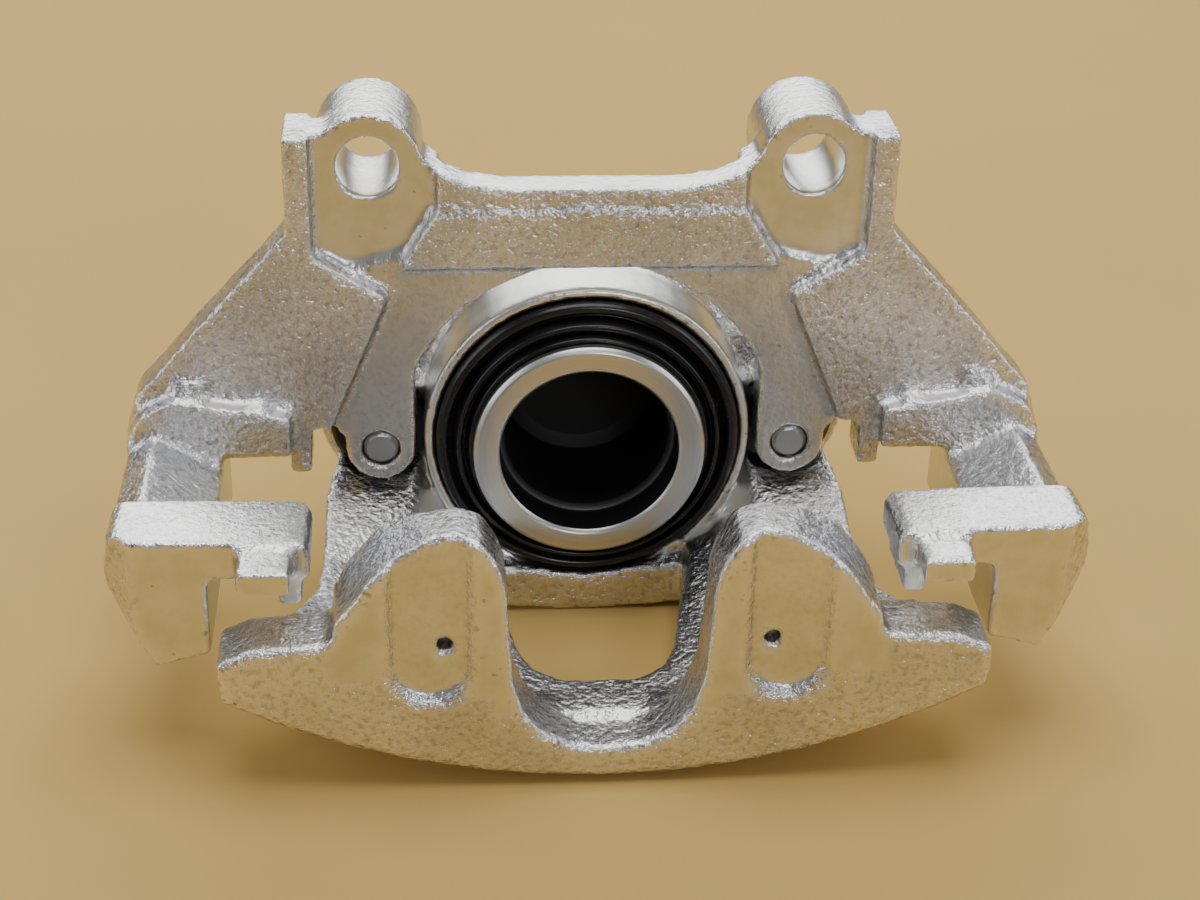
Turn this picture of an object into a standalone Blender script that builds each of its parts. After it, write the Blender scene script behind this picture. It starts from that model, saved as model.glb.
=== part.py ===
"""Floating single-piston disc brake caliper on its carrier, in metres, +Z up.

The caliper lies on the curved back of its bridge, as it does on a bench. X runs across
the caliper, +Y points inboard (away from the wheel) and the piston slides along Y.
Y = 0 is the piston's pushing face. The floor is Z = 0, the lowest line of the bridge.
"""
import math

import bmesh
import bpy
from mathutils import Matrix

GAP = 0.0003                      # clearance left between neighbouring pieces
MERGE = 0.000005                  # points closer than this are one
ROUND_STEPS = 48                  # sides of the large turned pieces
SIDES = (("left", -1), ("right", 1))

# Brake disc and pads that the caliper is made for
DISC_RADIUS = 0.157
DISC_TO_BRIDGE = 0.007
MOUTH_TO_FINGER = 0.060           # cylinder mouth to the fingers' inner face
EFFECTIVE_RADIUS = 0.1274         # disc centre to piston axis

# Piston, seal and boot
PISTON_RADIUS = 0.0285
PISTON_LENGTH = 0.050
PISTON_WALL = 0.0066              # at the open end
PISTON_LIP_DEPTH = 0.010
PISTON_FLOOR = 0.008
PISTON_STICKS_OUT = 0.008         # how far the piston stands out of the cylinder mouth
PISTON_RETRACT = 0.0065           # how far it can still be pushed back
BOOT_GROOVE_Y = 0.0030            # from the pushing face
BOOT_GROOVE_WIDTH = 0.0028
BOOT_GROOVE_DEPTH = 0.0012
BOOT_WIDTH = 0.0093               # radially, from the piston to the seat's wall
BOOT_SEAT_DEPTH = 0.0045
SEAL_WIDTH = 0.0034
SEAL_HEIGHT = 0.0024
SEAL_FROM_MOUTH = 0.009

# Housing
CYLINDER_WALL = 0.0118
CYLINDER_FLOOR = 0.008
BRIDGE_THICKNESS = 0.012
BRIDGE_STEPS = 13                 # odd, so that the middle facet is a flat to rest on
FINGER_THICKNESS = 0.016
FINGER_INNER_X = 0.0230
FINGER_OUTER_X = 0.0615
FINGER_TOP = 0.0170               # above the piston axis
FINGER_RELIEF = 0.0022            # how far the pockets and the lower band lie back
POCKET_BOTTOM = 0.0254            # below the piston axis
POCKET_IN = 0.0075                # from the finger's inner edge
POCKET_OUT = 0.0125               # from the finger's outer edge
SPRING_HOLE_RADIUS = 0.0019
SPRING_HOLE_IN = 0.0136           # from the finger's inner edge
SPRING_HOLE_DROP = 0.0115
SPRING_HOLE_DEPTH = 0.010
LUG_CLEARANCE = 0.0021            # between the housing's lugs and the carrier's arms
BRIDGE_REAR_INSET = 0.026         # from the cylinder's end
WINDOW_BACK_GAP = 0.003
CHAMFER = 0.0010

# Guides: pins screwed into the carrier's legs, running in bushes in the housing's ears
PIN_RADIUS = 0.0055
PIN_THREAD_RADIUS = 0.00435
PIN_LENGTH = 0.036
LINER_WALL = 0.0012
BUSH_WALL = 0.0029
EAR_WALL = 0.0048
BUSH_FRONT_FLANGE = 0.0022
BUSH_REAR_FLANGE = 0.0014
REAR_CLEARANCE = 0.0008           # between the bushes' rear collars and the cylinder
EAR_LENGTH = 0.022
GUIDE_DROP = 0.0032               # guide axes below the piston axis
LEG_TO_BUSH = 0.0014
BUSH_FRONT_LENGTH = 0.0026        # the bush's front end, between leg and ear
BUSH_REAR_LENGTH = 0.0024
PIN_CHAMFER = 0.0008
SOCKET_RADIUS = 0.0040
SOCKET_DEPTH = 0.006
CAP_LENGTH = 0.0145
CAP_COLLAR = 0.0025

# Carrier, from the middle outwards
WINDOW_CLEARANCE = 0.0054         # between the cylinder and the carrier's round window
LEG_CLEARANCE = 0.0017            # between the cylinder and the carrier's legs
LEG_WIDTH = 0.0176
NOTCH_WIDTH = 0.0081
STUB_WIDTH = 0.0053
SLOT_WIDTH = 0.0155               # slot for the brake pad's ear
ARM_WIDTH = 0.0238
PLATE_FRONT = 0.0066
LEG_FRONT = 0.0099
EAR_FRONT = 0.0110
ABUTMENT_FRONT = 0.0016
PLATE_BACK = 0.0200
BAR_HEIGHT = 0.0194
MOUNT_OUTSIDE_GUIDE = 0.0014      # ear holes outside the guide axes
MOUNT_HOLE_RADIUS = 0.0072
MOUNT_BOSS_RADIUS = 0.0130
MOUNT_BOSS_LENGTH = 0.027
MOUNT_ABOVE_BAR = 0.0244
RIB_OUTSIDE_LEG = 0.0061
RIB_WIDTH = 0.0060
OUTER_BLOCK_DEPTH = 0.020
OUTER_BLOCK_LEAD = 0.0015         # the blocks stand this far past the fingers' inner face
LIP_LENGTH = 0.0105
TAB_DROP = 0.0080
SLOT_TOP_DROP = 0.0008            # the pad slots' ceiling, below the piston axis
SLOT_CORNER_DROP = 0.0012         # the same at the arm, so that a pad's ear clears the corner

# Bleed screw and hose port
PORT_RADIUS = 0.0050
PORT_DEPTH = 0.010
PORT_BOSS_RADIUS = 0.0105
PORT_BOSS_HEIGHT = 0.0035
PORT_ABOVE_AXIS = 0.010
PASSAGE_RADIUS = 0.0015
BLEED_ANGLE = math.radians(45)
BLEED_BOSS_RADIUS = 0.0070
BLEED_BOSS_HEIGHT = 0.0064        # above the cylinder's side
BLEED_BOSS_ROOT = 0.0076          # how deep the boss sinks into the cylinder
BLEED_FROM_BORE_END = 0.004
BLEED_THREAD_RADIUS = 0.0035
BLEED_HEX_RADIUS = 0.0050
BLEED_SEAT_DEPTH = 0.0054         # below the cylinder's side
BLEED_HEX_HEIGHT = 0.0055
NIPPLE_RADIUS = 0.0034
NIPPLE_LENGTH = 0.009
NIPPLE_NECK = 0.0008              # how much thinner the neck is
CAP_WALL = 0.0012

# Worked out from the sizes above
AXIS_Z = DISC_RADIUS + DISC_TO_BRIDGE + BRIDGE_THICKNESS - EFFECTIVE_RADIUS
DISC_Z = AXIS_Z + EFFECTIVE_RADIUS
BRIDGE_IN = DISC_RADIUS + DISC_TO_BRIDGE
BRIDGE_OUT = BRIDGE_IN + BRIDGE_THICKNESS
PISTON_CUP_RADIUS = PISTON_RADIUS - PISTON_WALL
BORE_RADIUS = PISTON_RADIUS + GAP
BOOT_SEAT_RADIUS = PISTON_RADIUS + BOOT_WIDTH
CYLINDER_RADIUS = BORE_RADIUS + CYLINDER_WALL
MOUTH_Y = PISTON_STICKS_OUT
FINGER_BACK_Y = MOUTH_Y - MOUTH_TO_FINGER
FINGER_FRONT_Y = FINGER_BACK_Y - FINGER_THICKNESS
BORE_END_Y = PISTON_LENGTH + PISTON_RETRACT
CYLINDER_END_Y = BORE_END_Y + CYLINDER_FLOOR
BRIDGE_REAR_Y = CYLINDER_END_Y - BRIDGE_REAR_INSET
PORT_Z = AXIS_Z + PORT_ABOVE_AXIS
WINDOW_RADIUS = CYLINDER_RADIUS + WINDOW_CLEARANCE
LEG_IN_X = CYLINDER_RADIUS + LEG_CLEARANCE
LEG_OUT_X = LEG_IN_X + LEG_WIDTH
GUIDE_X = LEG_IN_X + LEG_WIDTH / 2
GUIDE_Z = AXIS_Z - GUIDE_DROP
STUB_IN_X = LEG_OUT_X + NOTCH_WIDTH
STUB_OUT_X = STUB_IN_X + STUB_WIDTH
SLOT_OUT_X = STUB_OUT_X + SLOT_WIDTH
ARM_OUT_X = SLOT_OUT_X + ARM_WIDTH
LUG_X = SLOT_OUT_X - LUG_CLEARANCE
MOUNT_X = GUIDE_X + MOUNT_OUTSIDE_GUIDE
RIB_X = LEG_OUT_X + RIB_OUTSIDE_LEG
RIB_OUT_X = RIB_X + RIB_WIDTH
OUTER_BLOCK_FRONT = FINGER_BACK_Y - OUTER_BLOCK_LEAD
OUTER_BLOCK_BACK = OUTER_BLOCK_FRONT + OUTER_BLOCK_DEPTH
BAR_LOW = WINDOW_RADIUS + GAP
BAR_TOP = BAR_LOW + BAR_HEIGHT
MOUNT_Z = BAR_LOW + MOUNT_ABOVE_BAR
EAR_FRONT_Y = PLATE_BACK + LEG_TO_BUSH + BUSH_FRONT_LENGTH
EAR_BACK_Y = EAR_FRONT_Y + EAR_LENGTH
LINER_IN = PIN_RADIUS + GAP
LINER_OUT = LINER_IN + LINER_WALL
BUSH_IN = LINER_OUT + GAP
BUSH_OUT = BUSH_IN + BUSH_WALL
EAR_BORE = BUSH_OUT + GAP
EAR_RADIUS = EAR_BORE + EAR_WALL
BLEED_BOSS_TOP = CYLINDER_RADIUS + BLEED_BOSS_HEIGHT
BLEED_SEAT = CYLINDER_RADIUS - BLEED_SEAT_DEPTH
BLEED_FOOT = (0, BORE_END_Y - BLEED_FROM_BORE_END, AXIS_Z)


# ---------------------------------------------------------------- helpers
def clear_scene():
    for item in list(bpy.data.objects):
        bpy.data.objects.remove(item, do_unlink=True)


def arc(x, z, radius, start, end, steps):
    """Points on a circle in the XZ plane, from one angle to another in degrees."""
    points = []
    for step in range(steps + 1):
        angle = math.radians(start + (end - start) * step / steps)
        points.append((x + radius * math.cos(angle), z + radius * math.sin(angle)))
    return points


def both_sides(half):
    """Close an outline with the mirror image of its right half."""
    return half + [(-x, other) for x, other in reversed(half)]


def finish_mesh(name, work):
    """Turn a bmesh into a closed, outward-facing object."""
    bmesh.ops.remove_doubles(work, verts=work.verts, dist=1e-6)
    bmesh.ops.recalc_face_normals(work, faces=work.faces)
    if work.calc_volume(signed=True) < 0:
        bmesh.ops.reverse_faces(work, faces=work.faces)
    mesh = bpy.data.meshes.new(name)
    work.to_mesh(mesh)
    work.free()
    item = bpy.data.objects.new(name, mesh)
    bpy.context.collection.objects.link(item)
    return item


def loft(name, sections):
    """Skin closed XZ outlines of equal point count, given as (y, points) pairs."""
    work = bmesh.new()
    rings = []
    for y, points in sections:
        rings.append([work.verts.new((x, y, z)) for x, z in points])
    count = len(rings[0])
    for first, second in zip(rings, rings[1:]):
        for i in range(count):
            j = (i + 1) % count
            work.faces.new((first[i], first[j], second[j], second[i]))
    work.faces.new(rings[0])
    work.faces.new(rings[-1])
    work.normal_update()
    bmesh.ops.triangulate(work, faces=work.faces)
    return finish_mesh(name, work)


def prism(name, points, start, end):
    """Push an XZ outline along Y."""
    return loft(name, [(start, points), (end, points)])


def plan(name, points, low, high):
    """Push an XY outline along Z."""
    work = bmesh.new()
    lower = [work.verts.new((x, y, low)) for x, y in points]
    upper = [work.verts.new((x, y, high)) for x, y in points]
    for i in range(len(points)):
        j = (i + 1) % len(points)
        work.faces.new((lower[i], lower[j], upper[j], upper[i]))
    work.faces.new(lower)
    work.faces.new(upper)
    work.normal_update()
    bmesh.ops.triangulate(work, faces=work.faces)
    return finish_mesh(name, work)


def lathe(name, profile, x=0.0, z=AXIS_Z, steps=ROUND_STEPS):
    """Turn (radius, y) points about an axis along Y through (x, z).

    A profile that starts and ends on the axis makes a solid; any other closes on itself.
    """
    work = bmesh.new()
    rings = []
    for radius, y in profile:
        if radius == 0:
            rings.append([])
            continue
        ring = []
        for step in range(steps):
            angle = 2 * math.pi * step / steps
            ring.append(work.verts.new((x + radius * math.cos(angle), y, z + radius * math.sin(angle))))
        rings.append(ring)
    pairs = list(zip(rings, rings[1:]))
    if rings[0]:
        pairs.append((rings[-1], rings[0]))
    for first, second in pairs:
        if not first or not second:
            work.faces.new(first or second)
            continue
        for i in range(steps):
            j = (i + 1) % steps
            work.faces.new((first[i], first[j], second[j], second[i]))
    item = finish_mesh(name, work)
    smooth_round(item)
    return item


def rod(name, x, z, radius, start, end, steps=32):
    return lathe(name, [(0, start), (radius, start), (radius, end), (0, end)], x, z, steps)


def smooth_round(item):
    item.data.shade_smooth()
    item.data.set_sharp_from_angle(angle=math.radians(35))


def pivot(item, point):
    """Put the object's origin on its joint axis and leave the shape where it is."""
    item.data.transform(Matrix.Translation([-value for value in point]))
    item.location = point
    return item


def tidy_mesh(mesh):
    """Merge what a Boolean left almost touching, and triangulate."""
    work = bmesh.new()
    work.from_mesh(mesh)
    bmesh.ops.remove_doubles(work, verts=work.verts, dist=MERGE)
    bmesh.ops.dissolve_degenerate(work, edges=work.edges, dist=MERGE)
    work.normal_update()
    bmesh.ops.triangulate(work, faces=work.faces)
    work.to_mesh(mesh)
    work.free()


def combine(base, tools, operation):
    """Add or cut with solids, and drop the solids afterwards."""
    for tool in tools:
        step = base.modifiers.new(operation.lower(), "BOOLEAN")
        step.operation = operation
        step.solver = "EXACT"
        step.object = tool
        graph = bpy.context.evaluated_depsgraph_get()
        mesh = bpy.data.meshes.new_from_object(base.evaluated_get(graph))
        tidy_mesh(mesh)
        base.modifiers.clear()
        base.data = mesh
        bpy.data.objects.remove(tool, do_unlink=True)
    return base


def add(base, *tools):
    return combine(base, tools, "UNION")


def cut(base, *tools):
    return combine(base, tools, "DIFFERENCE")


def paint(item, colour, roughness, metallic):
    material = bpy.data.materials.new(item.name + "_finish")
    material.use_nodes = True
    shader = material.node_tree.nodes["Principled BSDF"]
    shader.inputs["Base Color"].default_value = (*colour, 1.0)
    shader.inputs["Roughness"].default_value = roughness
    shader.inputs["Metallic"].default_value = metallic
    item.data.materials.clear()
    item.data.materials.append(material)
    return item


def zinc(item):
    return paint(item, (0.72, 0.71, 0.69), 0.38, 1.0)


def steel(item):
    return paint(item, (0.58, 0.57, 0.56), 0.25, 1.0)


def rubber(item):
    return paint(item, (0.015, 0.015, 0.017), 0.45, 0.0)


# ---------------------------------------------------------------- housing
def bridge_arc(radius, half_angle, steps):
    """Facets touching a circle about the disc's centre, along its lowest stretch."""
    step = 2 * half_angle / steps
    corner = radius / math.cos(math.radians(step / 2))
    return arc(0, DISC_Z, corner, 270 - half_angle, 270 + half_angle, steps)


def make_bridge():
    half_angle = math.degrees(math.asin(LUG_X / BRIDGE_IN)) + 1.5
    outline = bridge_arc(BRIDGE_OUT, half_angle, BRIDGE_STEPS)
    outline += list(reversed(bridge_arc(BRIDGE_IN, half_angle, BRIDGE_STEPS)))
    shell = prism("bridge", outline, FINGER_BACK_Y - 0.004, BRIDGE_REAR_Y)
    half = [(LUG_X, FINGER_FRONT_Y - 0.010),
            (LUG_X, FINGER_BACK_Y - 0.005),
            (LUG_X * 0.843, FINGER_BACK_Y + 0.012),
            (LUG_X * 0.768, FINGER_BACK_Y + 0.030),
            (LUG_X * 0.734, MOUTH_Y + 0.006),
            (LUG_X * 0.619, BRIDGE_REAR_Y + 0.010)]
    trim = plan("trim", both_sides(half), -0.02, DISC_Z)
    return combine(shell, [trim], "INTERSECT")


def finger_outline(bottom, shoulder):
    """The front wall's outline: both fingers, the gap between them and the side bands."""
    top = AXIS_Z + FINGER_TOP
    gap_floor = BRIDGE_THICKNESS - 0.0019
    right = [(0.0, gap_floor),
             (0.0075, gap_floor + 0.0006),
             (0.0145, gap_floor + 0.0040),
             (0.0190, gap_floor + 0.0095),
             (FINGER_INNER_X - 0.0015, gap_floor + 0.0180),
             (FINGER_INNER_X, AXIS_Z + 0.0040),
             (FINGER_INNER_X + 0.0018, top - 0.0070),
             (FINGER_INNER_X + 0.0050, top - 0.0020),
             (FINGER_INNER_X + 0.0105, top)]
    right += [(FINGER_OUTER_X - inset, top - drop) for inset, drop in shoulder]
    right += [(FINGER_OUTER_X, AXIS_Z - 0.0095),
              (LUG_X - 0.0080, AXIS_Z - 0.0105),
              (LUG_X, AXIS_Z - 0.0140)]
    right += [(LUG_X * share, bottom(LUG_X * share)) for share in (0.994, 0.86, 0.69, 0.52, 0.34, 0.17, 0.0)]
    left = [(-x, z) for x, z in reversed(right[1:-1])]
    return right + left


def make_front_wall():
    def under(radius):
        return lambda x: DISC_Z - math.sqrt(radius ** 2 - x ** 2)

    skirt = under(BRIDGE_OUT - 0.0002)
    raised = under(BRIDGE_OUT - FINGER_RELIEF)
    front_shoulder = [(0.0220, 0.0010), (0.0130, 0.0065), (0.0090, 0.0100),
                      (0.0045, 0.0170), (0.0010, 0.0210)]
    back_shoulder = [(0.0180, 0.0015), (0.0105, 0.0050), (0.0060, 0.0100),
                     (0.0025, 0.0150), (0.0004, 0.0200)]
    wall = loft("front_wall", [
        (FINGER_FRONT_Y, finger_outline(raised, front_shoulder)),
        (FINGER_FRONT_Y + 0.0045, finger_outline(skirt, front_shoulder)),
        (FINGER_BACK_Y, finger_outline(skirt, back_shoulder))])
    pocket_in = FINGER_INNER_X + POCKET_IN
    pocket_out = FINGER_OUTER_X - POCKET_OUT
    half_width = (pocket_out - pocket_in) / 2
    before = FINGER_FRONT_Y - 0.010
    for side in (-1, 1):
        middle = side * (pocket_in + pocket_out) / 2
        pocket = arc(middle, AXIS_Z - POCKET_BOTTOM + half_width, half_width, 180, 360, 10)
        pocket += [(middle + half_width, AXIS_Z + 2 * FINGER_TOP),
                   (middle - half_width, AXIS_Z + 2 * FINGER_TOP)]
        cut(wall, prism("pocket", pocket, before, FINGER_FRONT_Y + FINGER_RELIEF))
        cut(wall, rod("spring_hole", side * (FINGER_INNER_X + SPRING_HOLE_IN), AXIS_Z - SPRING_HOLE_DROP,
                      SPRING_HOLE_RADIUS, before, FINGER_FRONT_Y + SPRING_HOLE_DEPTH, 16))
    return wall


def make_shoulder(side):
    """The thick side of the bridge, rising towards the ear."""
    def section(inner, middle, outer, tops):
        xs = [GUIDE_X + offset for offset in (inner, middle, outer)]
        lows = [DISC_Z - math.sqrt((BRIDGE_OUT - 0.0004) ** 2 - x ** 2) for x in xs]
        points = [(x, AXIS_Z + top) for x, top in zip(xs, tops)]
        points += [(x, low) for x, low in zip(reversed(xs), reversed(lows))]
        return [(side * x, z) for x, z in points]

    return loft("shoulder", [
        (FINGER_BACK_Y + 0.016, section(-0.0251, -0.0061, 0.0149, (-0.0362, -0.0318, -0.0240))),
        (MOUTH_Y - 0.020, section(-0.0261, -0.0071, 0.0144, (-0.0340, -0.0270, -0.0205))),
        (MOUTH_Y + 0.002, section(-0.0251, -0.0071, 0.0139, (-0.0300, -0.0170, -0.0145))),
        (EAR_FRONT_Y + 0.002, section(-0.0291, -0.0091, 0.0109, (-0.0200, -0.0100, -0.0110))),
        (EAR_BACK_Y - 0.002, section(-0.0311, -0.0111, 0.0049, (-0.0200, -0.0100, -0.0130)))])


def upright(name, profile, steps=24):
    """Turn (radius, distance) points about the bleed screw's axis, up and out to the left."""
    item = lathe(name, profile, 0, 0, steps)
    turn = Matrix.Rotation(-BLEED_ANGLE, 4, "Y") @ Matrix.Rotation(math.radians(90), 4, "X")
    item.data.transform(Matrix.Translation(BLEED_FOOT) @ turn)
    return item


def plug(radius, start, end):
    """The profile of a plain solid cylinder."""
    return [(0, start), (radius, start), (radius, end), (0, end)]


def add_ears(body):
    root = CYLINDER_RADIUS / 2
    for side in (-1, 1):
        add(body, rod("ear", side * GUIDE_X, GUIDE_Z, EAR_RADIUS, EAR_FRONT_Y, EAR_BACK_Y))
        web = [(root, AXIS_Z + 0.0330),
               (GUIDE_X + 0.002, GUIDE_Z + EAR_RADIUS - 0.0006),
               (GUIDE_X + 0.002, GUIDE_Z - EAR_RADIUS + 0.0006),
               (root, AXIS_Z - 0.0340)]
        web = [(side * x, z) for x, z in web]
        add(body, prism("web", web, EAR_FRONT_Y + 0.003, EAR_BACK_Y - 0.003))


def cut_bore(body):
    seal_y = MOUTH_Y + SEAL_FROM_MOUTH
    seal_end = seal_y + SEAL_WIDTH + 2 * GAP
    groove = BORE_RADIUS + SEAL_HEIGHT + GAP
    cut(body, lathe("bore", [
        (0, MOUTH_Y - 0.01),
        (BOOT_SEAT_RADIUS, MOUTH_Y - 0.01),
        (BOOT_SEAT_RADIUS, MOUTH_Y + BOOT_SEAT_DEPTH),
        (BORE_RADIUS, MOUTH_Y + BOOT_SEAT_DEPTH),
        (BORE_RADIUS, seal_y),
        (groove, seal_y),
        (groove, seal_end),
        (BORE_RADIUS, seal_end),
        (BORE_RADIUS, BORE_END_Y),
        (0, BORE_END_Y)]))


def make_housing():
    body = make_bridge()
    add(body, make_front_wall())
    add(body, make_shoulder(-1), make_shoulder(1))
    rear_radius = GUIDE_X - EAR_BORE - BUSH_REAR_FLANGE - REAR_CLEARANCE
    add(body, lathe("cylinder", [
        (0, MOUTH_Y),
        (CYLINDER_RADIUS - CHAMFER, MOUTH_Y),
        (CYLINDER_RADIUS, MOUTH_Y + CHAMFER),
        (CYLINDER_RADIUS, EAR_BACK_Y - 0.002),
        (rear_radius, EAR_BACK_Y - GAP),
        (rear_radius, CYLINDER_END_Y - 0.005),
        (rear_radius - 0.005, CYLINDER_END_Y),
        (0, CYLINDER_END_Y)]))
    add_ears(body)
    port_face = CYLINDER_END_Y + PORT_BOSS_HEIGHT
    add(body, rod("port_boss", 0, PORT_Z, PORT_BOSS_RADIUS, CYLINDER_END_Y - 0.002, port_face))
    boss_root = CYLINDER_RADIUS - BLEED_BOSS_ROOT
    add(body, upright("bleed_boss", plug(BLEED_BOSS_RADIUS, boss_root, BLEED_BOSS_TOP)))
    cut_bore(body)
    for side in (-1, 1):
        cut(body, rod("ear_bore", side * GUIDE_X, GUIDE_Z, EAR_BORE, PLATE_BACK, EAR_BACK_Y + 0.02))
        cut(body, rod("flange_seat", side * GUIDE_X, GUIDE_Z, EAR_BORE + BUSH_FRONT_FLANGE + GAP,
                      PLATE_BACK - 0.002, EAR_FRONT_Y))
    window = [(0.0100, FINGER_BACK_Y + 0.0095),
              (0.0155, FINGER_BACK_Y + 0.0135),
              (0.0185, FINGER_BACK_Y + 0.0210),
              (0.0215, MOUTH_Y - 0.0230),
              (0.0255, MOUTH_Y - WINDOW_BACK_GAP)]
    cut(body, plan("window", both_sides(window), -0.01, AXIS_Z - 0.01))
    cut(body, rod("port", 0, PORT_Z, PORT_RADIUS, port_face - PORT_DEPTH, port_face + 0.02, 24))
    cut(body, rod("passage", 0, PORT_Z, PASSAGE_RADIUS, BORE_END_Y - 0.005, CYLINDER_END_Y, 12))
    hole = plug(BLEED_THREAD_RADIUS + GAP, BLEED_SEAT - 0.0007, BLEED_BOSS_TOP + 0.013)
    passage = plug(PASSAGE_RADIUS, PISTON_RADIUS - 0.0085, BLEED_SEAT + 0.0008)
    cut(body, upright("bleed_hole", hole), upright("bleed_passage", passage, 12))
    body.name = "caliper_housing"
    return zinc(pivot(body, (0, CYLINDER_END_Y, AXIS_Z)))


# ---------------------------------------------------------------- carrier
def make_bar():
    """The cross bar between the ears, with a thicker band along its lower edge."""
    edge = [(0.018, BAR_TOP + 0.0008),
            (MOUNT_X - 0.0235, BAR_TOP + 0.0022),
            (MOUNT_X - 0.016, BAR_TOP + 0.0052)]
    upper = [(x, AXIS_Z + height) for x, height in edge] + [(MOUNT_X - 0.016, AXIS_Z + BAR_LOW)]
    body = prism("carrier", both_sides(upper), PLATE_FRONT + 0.001, PLATE_BACK - 0.003)
    band_top = AXIS_Z + BAR_LOW + 0.0144
    band = [(MOUNT_X - 0.0155, band_top), (MOUNT_X - 0.0071, AXIS_Z + BAR_LOW)]
    return add(body, prism("band", both_sides(band), PLATE_FRONT, PLATE_BACK - 0.002))


def carrier_outlines():
    """One side's outlines, as (name, front, back, [(x, height above the piston axis)])."""
    ear = [(MOUNT_X - 0.0170, BAR_LOW - 0.0040),
           (RIB_X + 0.0020, BAR_LOW - 0.0003),
           (RIB_X + 0.0020, MOUNT_Z + 0.0085),
           (MOUNT_X, MOUNT_Z + 0.0090),
           (MOUNT_X - 0.0105, MOUNT_Z + 0.0030),
           (MOUNT_X - 0.0170, BAR_TOP + 0.0050)]
    rib = [(RIB_X, BAR_LOW + 0.0007),
           (RIB_OUT_X, BAR_LOW + 0.0007),
           (RIB_OUT_X, MOUNT_Z + 0.0088),
           (RIB_X, MOUNT_Z + 0.0088)]
    leg = arc(0, 0, WINDOW_RADIUS, 78, 24, 12)
    leg += [(LEG_IN_X, 0.014), (LEG_IN_X, -GUIDE_DROP)]
    leg += arc(GUIDE_X, -GUIDE_DROP, LEG_WIDTH / 2, 180, 360, 10)[1:]
    leg += [(LEG_OUT_X, 0.0),
            (STUB_IN_X, 0.010),
            (LEG_OUT_X + 0.0001, BAR_LOW - 0.0013),
            (MOUNT_X - 0.0125, BAR_LOW + 0.0040),
            (0.009, BAR_LOW + 0.0040)]
    plate = [(MOUNT_X - 0.0041, BAR_LOW - 0.0072),
             (RIB_X + 0.0005, BAR_LOW + 0.0039),
             (RIB_OUT_X, BAR_LOW + 0.0097),
             (ARM_OUT_X - 0.0161, 0.0290),
             (ARM_OUT_X - 0.0091, 0.0205),
             (ARM_OUT_X - 0.0030, 0.0140),
             (ARM_OUT_X, 0.0040),
             (ARM_OUT_X - 0.0020, -0.0050),
             (SLOT_OUT_X, -SLOT_TOP_DROP),
             (STUB_OUT_X, -SLOT_TOP_DROP),
             (STUB_OUT_X, -TAB_DROP),
             (STUB_IN_X, -TAB_DROP),
             (STUB_IN_X, 0.0040),
             (LEG_OUT_X + 0.0030, 0.0040)]
    abutment = [(STUB_OUT_X - 0.0006, 0.0100),
                (SLOT_OUT_X + 0.0030, 0.0135),
                (ARM_OUT_X - 0.0126, 0.0150),
                (ARM_OUT_X - 0.0040, 0.0110),
                (ARM_OUT_X, 0.0030),
                (ARM_OUT_X - 0.0030, -0.0060),
                (SLOT_OUT_X, -SLOT_CORNER_DROP),
                (STUB_OUT_X - 0.0006, -SLOT_TOP_DROP)]
    arm = [(SLOT_OUT_X, -0.0200),
           (SLOT_OUT_X + 0.0125, -0.0240),
           (ARM_OUT_X - 0.0005, -0.0050),
           (ARM_OUT_X - 0.0005, 0.0010),
           (ARM_OUT_X - 0.0075, 0.0060),
           (SLOT_OUT_X, -0.0035)]
    block = [(SLOT_OUT_X, -0.0205),
             (SLOT_OUT_X + 0.0125, -0.0240),
             (ARM_OUT_X - 0.0010, -0.0050),
             (ARM_OUT_X - 0.0015, 0.0070),
             (ARM_OUT_X - 0.0040, 0.0092),
             (STUB_IN_X, 0.0082),
             (STUB_IN_X - 0.0020, 0.0062),
             (STUB_IN_X - 0.0020, -SLOT_TOP_DROP),
             (SLOT_OUT_X, -SLOT_CORNER_DROP)]
    tab = [(STUB_IN_X, 0.0040), (STUB_IN_X, -TAB_DROP), (STUB_OUT_X, -TAB_DROP), (STUB_OUT_X, 0.0040)]
    lip = [(STUB_IN_X + 0.0020, 0.0010),
           (SLOT_OUT_X - 0.0071, 0.0010),
           (SLOT_OUT_X - 0.0071, 0.0070),
           (STUB_IN_X + 0.0020, 0.0070)]
    return [("ear", EAR_FRONT, PLATE_BACK + 0.0030, ear),
            ("rib", PLATE_FRONT, PLATE_BACK + 0.0050, rib),
            ("leg", LEG_FRONT, PLATE_BACK, leg),
            ("plate", PLATE_FRONT, PLATE_BACK - 0.0010, plate),
            ("abutment", ABUTMENT_FRONT, PLATE_BACK - 0.0020, abutment),
            ("arm", OUTER_BLOCK_FRONT + 0.0005, PLATE_BACK - 0.0030, arm),
            ("outer_block", OUTER_BLOCK_FRONT, OUTER_BLOCK_BACK, block),
            ("tab", OUTER_BLOCK_FRONT + 0.0002, OUTER_BLOCK_BACK - 0.0003, tab),
            ("lip", OUTER_BLOCK_FRONT - LIP_LENGTH, OUTER_BLOCK_FRONT + 0.0035, lip)]


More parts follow.
